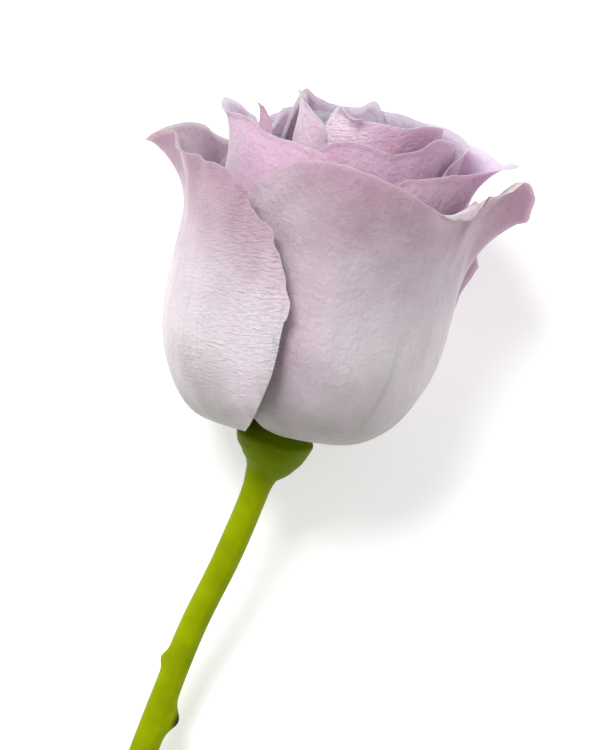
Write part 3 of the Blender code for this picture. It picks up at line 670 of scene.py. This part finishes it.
def petal_skin(name, settings, middles, tops, claw):
    """Fresh rose petal: thin, soft tissue with a velvety skin, which glows where light comes through.

    It is palest in the middle of the blade, grey at the claw, and darker and pinker towards the rim. The
    grey low down and the darker top are partly painted shade, the grey inner face of the outer petals is
    painted shade inside the cup, and the pale patches are mostly painted light.
    Fine veins fan out from the claw, the skin is finely crinkled, and the margin dries pale.
    """
    made, tree = new_material(name)
    facts = {
        fact: add(tree, "Attribute", attribute_name=fact).outputs["Fac"]
        for fact in ("along", "margin", "bruise", "crinkle", "crease", "rib", "pale", "flush", "dry")
    }
    blade = add(tree, "UVMap", uv_map="blade").outputs["UV"]
    place = add(tree, "TexCoord").outputs["Object"]

    middle, top = (
        add(tree, "Mix", {0: facts["flush"], 6: (*lilac, 1), 7: (*mauve, 1)}, data_type="RGBA")
        for lilac, mauve in (middles, tops)
    )

    # Clouds, about 11 mm wide, shift where one tone gives way to the next
    clouds = add(tree, "TexNoise", {"Vector": place, "Scale": 1 / (11 * MM), "Detail": 2.0})
    shift = add(tree, "Math", {0: clouds, 1: 0.26, 2: facts["along"]}, operation="MULTIPLY_ADD")
    # Near the claw the tone turns grey, partly painted shade low on the cup.
    near_claw = add(tree, "MapRange", {0: shift, 1: 0.2, 2: 0.68, 3: 1.0, 4: 0.0},
                    interpolation_type="SMOOTHERSTEP")
    # Near the top the tone turns darker, partly painted shade where the rim bends away from the light.
    near_top = add(tree, "MapRange", {0: shift, 1: 0.5, 2: 1.12, 3: 0.0, 4: 1.0},
                   interpolation_type="SMOOTHERSTEP")
    # The pale patches are mostly painted light, where a flank or margin is lit.
    pale_and_lit_mark = add(tree, "Math", {0: facts["pale"], 1: 0.8}, operation="MULTIPLY")
    skin = middle
    for mark, tone in ((near_claw, (*claw, 1)), (near_top, top), (pale_and_lit_mark, (*settings.pale_and_lit_pink, 1))):
        skin = add(tree, "Mix", {0: mark, 6: skin, 7: tone}, data_type="RGBA")

    # Blotches, about 4 mm wide, and the puckers between the fine side veins, drawn 1.2 mm wide
    blotches = add(tree, "TexNoise", {"Vector": place, "Scale": 1 / (4 * MM), "Detail": 2.0})
    grain = add(tree, "TexNoise",
                {"Vector": place, "Scale": 1 / (1.2 * MM), "Detail": 4.0, "Roughness": 0.6, "Distortion": 0.3})
    for share, noise in ((0.2, blotches), (0.12, grain)):
        skin = add(tree, "Mix", {0: share, 6: skin, 7: noise}, data_type="RGBA", blend_type="SOFT_LIGHT")

    # Veins run up the blade, 0.8 mm apart and 14 mm long, with a green rib low down in the middle. The
    # crease is a pale line. The last half millimetre of the margin dries pale, and bruises turn yellow
    # and then brown.
    stretched = add(tree, "Mapping", {"Vector": blade, "Scale": (1 / 0.8, 1 / 14, 1.0)})
    veins = add(tree, "TexNoise", {"Vector": stretched, "Scale": 1.0, "Detail": 3.0, "Distortion": 0.4})
    vein_mark = add(tree, "MapRange", {0: veins, 1: 0.5, 2: 0.75, 3: 0.0, 4: 0.22})
    rib_mark = add(tree, "Math", {0: facts["rib"], 1: 0.45}, operation="MULTIPLY")
    beside = add(tree, "Math", {0: facts["crease"]}, operation="ABSOLUTE")
    crease_mark = add(tree, "MapRange", {0: beside, 1: 0.04, 2: 0.2, 3: 0.35, 4: 0.0})
    edge_mark = add(tree, "MapRange", {0: facts["margin"], 1: 0.05, 2: 0.55, 3: 0.8, 4: 0.0})
    dry_mark = add(tree, "Math", {0: edge_mark, 1: facts["dry"]}, operation="MULTIPLY")
    rough_bruise = add(tree, "Math", {0: blotches, 1: 0.5, 2: facts["bruise"]}, operation="MULTIPLY_ADD")
    yellow_mark, brown_mark = (
        add(tree, "MapRange", {0: rough_bruise, 1: start, 2: end, 3: 0.0, 4: 0.8})
        for start, end in ((0.35, 0.65), (0.75, 1.05))
    )
    for mark, tone in (
        (vein_mark, settings.vein), (rib_mark, settings.rib), (crease_mark, (1, 1, 1)),
        (dry_mark, settings.dry_rim), (yellow_mark, settings.yellowed), (brown_mark, settings.browned),
    ):
        skin = add(tree, "Mix", {0: mark, 6: skin, 7: (*tone, 1)}, data_type="RGBA")

    # Crinkles run in from the margin, 0.5 mm apart and 1.5 mm long, over the veins and the puckers
    aslant = add(tree, "Mapping", {"Vector": blade, "Rotation": (0, 0, 0.22), "Scale": (1.5, 0.5, 1.0)},
                 vector_type="TEXTURE")
    crinkles = add(tree, "TexNoise", {"Vector": aslant, "Scale": 1.0, "Detail": 2.0, "Distortion": 0.4})
    crinkled = add(tree, "Math", {0: crinkles, 1: facts["crinkle"]}, operation="MULTIPLY")
    fine = add(tree, "Bump", {"Strength": 0.8, "Distance": 0.4 * MM, "Height": grain})
    lined = add(tree, "Bump", {"Strength": 0.5, "Distance": 0.12 * MM, "Height": veins, "Normal": fine})
    rough = add(tree, "Bump",
                {"Strength": 0.9, "Distance": 0.42 * MM, "Height": crinkled, "Normal": lined})

    shader = add(tree, "BsdfPrincipled", {
        "Base Color": skin,
        "Roughness": 0.45,
        "IOR": 1.4,
        "Subsurface Weight": 0.6,
        "Subsurface Radius": (1.0, 0.62, 0.85),
        "Subsurface Scale": 1.2 * MM,
        "Sheen Weight": 0.15,
        "Sheen Roughness": 0.45,
        "Normal": rough,
    })
    add(tree, "OutputMaterial", {0: shader})
    return made


def mottled_tissue(name, tones, grain, detail, roughness):
    """Bare plant tissue, mottled from one tone to another by a grain of the given size in millimetres.

    The edge of a petal has dried to a pale, thin line that is matt. The cut face of the stem is moist pale
    pith with green wood in it, and shines a little.
    """
    made, tree = new_material(name)
    place = add(tree, "TexCoord").outputs["Object"]
    mottle = add(tree, "TexNoise", {"Vector": place, "Scale": 1 / (grain * MM), "Detail": detail})
    mixed = add(tree, "Mix", {0: mottle, 6: (*tones[0], 1), 7: (*tones[1], 1)}, data_type="RGBA")
    shader = add(tree, "BsdfPrincipled", {"Base Color": mixed, "Roughness": roughness,
                                          "Subsurface Weight": 0.2, "Subsurface Scale": 1.0 * MM})
    add(tree, "OutputMaterial", {0: shader})
    return made


def petal_finishes(settings):
    """Materials of a petal's outer face, inner face and edge, made once and shared."""
    names = ("rose_petal_outer_face", "rose_petal_inner_face", "dried_petal_edge")
    if names[0] not in bpy.data.materials:
        petal_skin(names[0], settings, (settings.outer_back, settings.inner_back),
                   (settings.outer_back_top, settings.inner_back_top), settings.claw_back)
        petal_skin(names[1], settings, (settings.outer_face, settings.inner_face),
                   (settings.outer_face_top, settings.inner_face_top), settings.claw_face)
        mottled_tissue(names[2], (settings.dry_rim, settings.outer_back_top), 3, 2.0, 0.6)
    return [bpy.data.materials[name] for name in names]


def build_petals(context, petals, cells):
    """Makes pieces of a group of petals."""
    settings = context.scene.rose_bloom
    finishes = petal_finishes(settings)
    for petal in petals:
        petal_piece(petal, cells, settings.petal_thickness, finishes)


def stem_line(places):
    """The middle line of hip and stem, as points in the flower's frame."""
    sideways = smooth_curve(TUBE_SIDEWAYS, places)
    cut_height = (CUT_HEIGHT - LIES_AT[2] - CUT_PLACE * math.sin(AXIS_RISE)) / math.cos(AXIS_RISE)
    upward = cut_height * (np.minimum(places, 0.0) / CUT_PLACE) ** 2
    return np.stack((sideways, places, upward), axis=-1)


def stem_grid(rings, sides):
    """Points of the skin of hip and stem, ring by ring from the cut end, with the facts for its material."""
    places = np.linspace(CUT_PLACE, TUBE_RADIUS[-1][0], rings)
    line = stem_line(places)
    tangent = np.gradient(line, axis=0)
    tangent /= np.linalg.norm(tangent, axis=1, keepdims=True)
    aside = np.cross(tangent, np.array((0.0, 0.0, 1.0)))
    aside /= np.linalg.norm(aside, axis=1, keepdims=True)
    over = np.cross(aside, tangent)
    angles = np.linspace(0.0, 2 * math.pi, sides, endpoint=False)
    radius = np.repeat(smooth_curve(TUBE_RADIUS, places)[:, None], sides, axis=1)
    random = np.random.default_rng(5)
    stem_share = smoothstep((-6.0 - places) / 6.0)[:, None]
    ridges = ripple(angles[None, :] * 2 / math.pi * 2, 1.0, random) * 0.03
    swell = ripple(places, 31.0, random)[:, None] * 0.05
    radius = radius + stem_share * (ridges + swell)
    scar = np.zeros(radius.shape)
    for place, turn, length, width, height, mark in STEM_MARKS:
        around = (angles[None, :] - math.radians(turn) + math.pi) % (2 * math.pi) - math.pi
        weight = np.exp(-((places[:, None] - place) / length) ** 2 - (around / math.radians(width)) ** 2)
        radius = radius + height * weight
        scar = np.maximum(scar, mark * weight)
    direction = aside[:, None] * np.cos(angles)[None, :, None] + over[:, None] * np.sin(angles)[None, :, None]
    points = line[:, None] + direction * radius[..., None]
    shear = math.tan(math.radians(CUT_SLANT)) * np.clip(1 - (places - CUT_PLACE) / CUT_REACH, 0.0, 1.0)
    points[..., 1] += shear[:, None] * (points[..., 2] - line[:, 2:3])
    facts = {"axial": np.repeat(places[:, None], sides, axis=1), "scar": scar}
    return points, facts


def stem_skin(settings):
    """Green rose stem: smooth waxy bark, yellow-green on the stem and a darker green on the hip, the darker
    green partly painted shade where the bloom hangs over the hip.
    """
    made, tree = new_material("rose_stem_bark")
    axial = add(tree, "Attribute", attribute_name="axial").outputs["Fac"]
    scar = add(tree, "Attribute", attribute_name="scar").outputs["Fac"]
    place = add(tree, "TexCoord").outputs["Object"]
    # The hip's darker green is partly painted shade under the bloom.
    on_hip = add(tree, "MapRange", {0: axial, 1: -14.0, 2: -3.0, 3: 0.0, 4: 1.0},
                 interpolation_type="SMOOTHERSTEP")
    body = add(tree, "Mix", {0: on_hip, 6: (*settings.stem_green, 1), 7: (*settings.hip_green, 1)},
               data_type="RGBA")
    clouds = add(tree, "TexNoise", {"Vector": place, "Scale": 1 / (5 * MM), "Detail": 4.0})
    bark = add(tree, "Mix", {0: 0.5, 6: body, 7: clouds}, data_type="RGBA", blend_type="SOFT_LIGHT")
    specks = add(tree, "TexVoronoi", {"Vector": place, "Scale": 1 / (1.6 * MM)})
    speck_mark = add(tree, "MapRange", {0: specks, 1: 0.05, 2: 0.2, 3: 0.25, 4: 0.0})
    scar_mark = add(tree, "MapRange", {0: scar, 1: 0.35, 2: 0.75, 3: 0.0, 4: 1.0})
    for mark, tone in ((speck_mark, settings.speck), (scar_mark, settings.scar)):
        bark = add(tree, "Mix", {0: mark, 6: bark, 7: (*tone, 1)}, data_type="RGBA")
    grain = add(tree, "TexNoise", {"Vector": place, "Scale": 1 / (0.8 * MM), "Detail": 3.0})
    bump = add(tree, "Bump", {"Strength": 0.4, "Distance": 0.08 * MM, "Height": grain})
    shader = add(tree, "BsdfPrincipled", {
        "Base Color": bark,
        "Roughness": 0.5,
        "IOR": 1.4,
        "Specular IOR Level": 0.05,
        "Subsurface Weight": 0.15,
        "Subsurface Radius": (0.6, 1.0, 0.2),
        "Subsurface Scale": 1.0 * MM,
        "Normal": bump,
    })
    add(tree, "OutputMaterial", {0: shader})
    return made


def stem_piece(settings):
    """Hip and stem as one closed skin: a grid rolled up to a tube and closed at both ends."""
    points, facts = stem_grid(STEM_RINGS, STEM_SIDES)
    placed = lie(points) * MM
    shell = bmesh.new()
    layers = {name: shell.verts.layers.float.new(name) for name in facts}
    grid = []
    for ring in range(STEM_RINGS):
        grid.append([shell.verts.new(placed[ring, side]) for side in range(STEM_SIDES)])
        for name, layer in layers.items():
            for side in range(STEM_SIDES):
                grid[ring][side][layer] = facts[name][ring, side]
    for ring in range(STEM_RINGS - 1):
        for side in range(STEM_SIDES):
            onward = (side + 1) % STEM_SIDES
            shell.faces.new((grid[ring][side], grid[ring][onward], grid[ring + 1][onward],
                             grid[ring + 1][side]))
    ends = bmesh.ops.contextual_create(shell, geom=grid[0])["faces"]
    bmesh.ops.contextual_create(shell, geom=grid[-1])
    for face in ends:
        face.material_index = 1
    bmesh.ops.recalc_face_normals(shell, faces=shell.faces[:])
    mesh = bpy.data.meshes.new("hip_and_stem")
    shell.to_mesh(mesh)
    shell.free()
    mesh.materials.append(stem_skin(settings))
    mesh.materials.append(
        mottled_tissue("cut_rose_stem", (settings.pith, settings.stem_green), 0.4, 3.0, 0.35))
    mesh.shade_smooth()
    mesh.set_sharp_from_angle(angle=math.radians(50))
    piece = bpy.data.objects.new("hip_and_stem", mesh)
    bpy.context.scene.collection.objects.link(piece)
    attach(piece, BODY)
    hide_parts("stem")
    return piece


def backlit_acrylic(settings):
    """Opal acrylic, lit from below: cast, matt white plastic that glows evenly and keeps shadows faint."""
    made, tree = new_material("opal_acrylic")
    place = add(tree, "TexCoord").outputs["Object"]
    cast = add(tree, "TexNoise", {"Vector": place, "Scale": 1 / (40 * MM), "Detail": 2.0})
    bump = add(tree, "Bump", {"Strength": 0.05, "Distance": 0.02 * MM, "Height": cast})
    shader = add(tree, "BsdfPrincipled", {
        "Base Color": (*settings.sheet, 1),
        "Roughness": 0.9,
        "Specular IOR Level": 0.2,
        "Emission Color": (1, 1, 1, 1),
        "Emission Strength": settings.sheet_glow,
        "Normal": bump,
    })
    add(tree, "OutputMaterial", {0: shader})
    return made


def photo_axes():
    """Unit vectors to the right and up in the photograph, on the surface that the flower lies on."""
    lean = math.radians(AXIS_LEAN)
    return Vector((math.cos(lean), math.sin(lean), 0)), Vector((-math.sin(lean), math.cos(lean), 0))


def look_down(settings):
    """The camera straight above the flower, turned so that the stem leans as in the photograph."""
    right, up = photo_axes()
    back = Vector((0, 0, 1))
    aside = PHOTO_SIZE[0] / 2 - PHOTO_RECEPTACLE[0]
    above = PHOTO_RECEPTACLE[1] - PHOTO_SIZE[1] / 2
    centre = Vector(LIES_AT) * MM + (right * aside + up * above) * PIXEL * MM
    data = bpy.data.cameras.new("camera")
    camera = bpy.data.objects.new("camera", data)
    bpy.context.scene.collection.objects.link(camera)
    placed = Matrix((right, up, back)).transposed().to_4x4()
    placed.translation = centre + back * settings.camera_distance
    camera.matrix_world = placed
    data.sensor_fit = "AUTO"
    data.sensor_width = 36.0
    data.lens = data.sensor_width * settings.camera_distance / (max(PHOTO_SIZE) * PIXEL * MM)
    data.clip_end = 10.0
    bpy.context.scene.camera = camera
    return centre


def soft_box(name, centre, aside, above, height, size, power):
    """A square area light, placed from the flower by the photograph's own right and up."""
    right, up = photo_axes()
    data = bpy.data.lights.new(name, "AREA")
    data.size = size
    data.energy = power
    lamp = bpy.data.objects.new(name, data)
    bpy.context.scene.collection.objects.link(lamp)
    lamp.location = centre + right * aside + up * above + Vector((0, 0, height))
    lamp.rotation_euler = (centre - lamp.location).to_track_quat("-Z", "Y").to_euler()


def build_stage(context):
    settings = context.scene.rose_stage
    scene = context.scene
    centre = look_down(settings)
    bpy.ops.mesh.primitive_plane_add(size=settings.sheet_size)
    sheet = context.object
    sheet.name = "sheet"
    sheet.data.materials.append(backlit_acrylic(settings))
    soft_box("window", centre, -0.32, 0.72, 1.1, 0.5, settings.window_power)
    soft_box("fill", centre, 0.6, -0.3, 1.0, 0.8, settings.fill_power)
    world = bpy.data.worlds.new("studio")
    world.use_nodes = True
    sky = world.node_tree.nodes["Background"]
    sky.inputs["Color"].default_value = (*settings.sky, 1)
    sky.inputs["Strength"].default_value = settings.sky_strength
    scene.world = world
    scene.view_settings.view_transform = "Standard"


def colour_property(name, description, text):
    """A colour that a user can change."""
    return bpy.props.FloatVectorProperty(
        name=name, description=description, default=colour(text), min=0.0, max=1.0, size=3, subtype="COLOR",
    )


class RoseBloomSettings(bpy.types.PropertyGroup):
    petal_thickness: bpy.props.FloatProperty(
        name="Petal thickness", description="Thickness of a petal's blade", default=0.22 * MM,
        min=0.1 * MM, max=0.6 * MM, precision=5, unit="LENGTH",
    )
    outer_back: colour_property("Outer petals, back", "Outer face of the palest petals", "EAD5E1")
    # The darker top tone is partly painted shade, where the rim bends away from the light.
    outer_back_top: colour_property("Outer petals, back, top", "The same near the rim", "AA919E")
    # The grey of the outer petals' inner face is painted shade inside the cup.
    outer_face: colour_property("Outer petals, face", "Inner face of the palest petals", "9CA09F")
    outer_face_top: colour_property("Outer petals, face, top", "The same near the rim", "949395")
    inner_back: colour_property("Inner petals, back", "Outer face of the deepest petals", "DFBCD3")
    inner_back_top: colour_property("Inner petals, back, top", "The same near the rim", "DAB5CC")
    inner_face: colour_property("Inner petals, face", "Inner face of the deepest petals", "D2C8DA")
    inner_face_top: colour_property("Inner petals, face, top", "The same near the rim", "C9BED2")
    # The claw tones are partly painted shade low on the cup.
    claw_back: colour_property("Claw, back", "Outer face near the hip", "9C9692")
    claw_face: colour_property("Claw, face", "Inner face near the hip", "B2AD9F")
    vein: colour_property("Veins", "The fine veins of a petal", "B9A6A8")
    rib: colour_property("Rib", "The green rib low down on an outer petal", "9AA67E")
    dry_rim: colour_property("Dry rim", "The pale line along a petal's margin", "C9B4AD")
    # Pale pink of the pale patches, mostly painted light where a flank or margin is lit.
    pale_and_lit_pink: colour_property("Pale", "Patches that have stayed pale pink", "F6DFEC")
    yellowed: colour_property("Yellowed", "Where a petal has dried to yellow", "BFAF8F")
    browned: colour_property("Browned", "Where a petal is bruised brown", "8C5F44")


class RoseStemSettings(bpy.types.PropertyGroup):
    stem_green: colour_property("Stem", "Bark of the stem", "8E9E00")
    # The hip's darker green is partly painted shade under the bloom.
    hip_green: colour_property("Hip", "Bark of the hip", "657800")
    speck: colour_property("Specks", "Lenticels of the bark", "A3A63A")
    scar: colour_property("Scar", "Corky leaf scar", "4A2F1C")
    pith: colour_property("Pith", "Inside of the stem", "D5DBA8")


class RoseStageSettings(bpy.types.PropertyGroup):
    camera_distance: bpy.props.FloatProperty(
        name="Camera distance", description="From the camera to the flower", default=1.2, min=0.3,
        unit="LENGTH",
    )
    sheet_size: bpy.props.FloatProperty(
        name="Sheet size", description="Side of the sheet under the flower", default=4.0, min=0.5,
        unit="LENGTH",
    )
    sheet_glow: bpy.props.FloatProperty(
        name="Sheet glow", description="Light that the sheet gives from below", default=0.37, min=0.0,
    )
    window_power: bpy.props.FloatProperty(
        name="Window", description="Power of the main light, at the upper left", default=15.5, min=0.0,
        unit="POWER",
    )
    fill_power: bpy.props.FloatProperty(
        name="Fill", description="Power of the weak light at the right", default=0.2, min=0.0, unit="POWER",
    )
    sky_strength: bpy.props.FloatProperty(
        name="Sky strength", description="Brightness of the light from all round", default=0.5, min=0.0,
    )
    sheet: colour_property("Sheet", "The surface that the flower lies on", "F4F4F4")
    sky: colour_property("Sky", "Light from all round", "FFFFFF")


class ROSE_OT_outer_petals(bpy.types.Operator):
    """Dresses the four outer petals"""

    bl_idname = "rose.outer_petals"
    bl_label = "Outer petals"

    def execute(self, context):
        build_petals(context, outer_petals(), LARGE_CELLS)
        return {"FINISHED"}


class ROSE_OT_second_petals(bpy.types.Operator):
    """Dresses the petals of the second layer"""

    bl_idname = "rose.second_petals"
    bl_label = "Second layer"

    def execute(self, context):
        build_petals(context, second_petals(), LARGE_CELLS)
        return {"FINISHED"}


class ROSE_OT_third_petals(bpy.types.Operator):
    """Dresses the petals of the third layer"""

    bl_idname = "rose.third_petals"
    bl_label = "Third layer"

    def execute(self, context):
        build_petals(context, third_petals(), LARGE_CELLS)
        return {"FINISHED"}


class ROSE_OT_heart(bpy.types.Operator):
    """Dresses the furled petals of the closed heart"""

    bl_idname = "rose.heart"
    bl_label = "Heart"

    def execute(self, context):
        build_petals(context, heart_petals(), HEART_CELLS)
        return {"FINISHED"}


class ROSE_OT_stem(bpy.types.Operator):
    """Dresses the hip and the stem"""

    bl_idname = "rose.stem"
    bl_label = "Hip and stem"

    def execute(self, context):
        stem_piece(context.scene.rose_stem)
        return {"FINISHED"}


class ROSE_OT_stage(bpy.types.Operator):
    """Puts up the sheet, the lights and the camera"""

    bl_idname = "rose.stage"
    bl_label = "Stage"

    def execute(self, context):
        build_stage(context)
        return {"FINISHED"}


OPERATORS = (
    ROSE_OT_outer_petals, ROSE_OT_second_petals, ROSE_OT_third_petals, ROSE_OT_heart, ROSE_OT_stem,
    ROSE_OT_stage,
)
SETTINGS = (
    ("rose_bloom", RoseBloomSettings),
    ("rose_stem", RoseStemSettings),
    ("rose_stage", RoseStageSettings),
)


class ROSE_PT_looks(bpy.types.Panel):
    """Buttons and settings of the rose's looks"""

    bl_idname = "ROSE_PT_looks"
    bl_label = "Rose"
    bl_space_type = "VIEW_3D"
    bl_region_type = "UI"
    bl_category = "Rose"

    def draw(self, context):
        for operator in OPERATORS:
            self.layout.operator(operator.bl_idname)
        for name, group in SETTINGS:
            box = self.layout.box()
            for setting in group.__annotations__:
                box.prop(getattr(context.scene, name), setting)


def register():
    for name, group in SETTINGS:
        bpy.utils.register_class(group)
        setattr(bpy.types.Scene, name, bpy.props.PointerProperty(type=group))
    for shown in (*OPERATORS, ROSE_PT_looks):
        bpy.utils.register_class(shown)


def unregister():
    for shown in reversed((*OPERATORS, ROSE_PT_looks)):
        bpy.utils.unregister_class(shown)
    for name, group in reversed(SETTINGS):
        delattr(bpy.types.Scene, name)
        bpy.utils.unregister_class(group)


def main():
    register()
    bpy.ops.rose.outer_petals()
    bpy.ops.rose.second_petals()
    bpy.ops.rose.third_petals()
    bpy.ops.rose.heart()
    bpy.ops.rose.stem()
    bpy.ops.rose.stage()


if __name__ == "__main__":
    main()
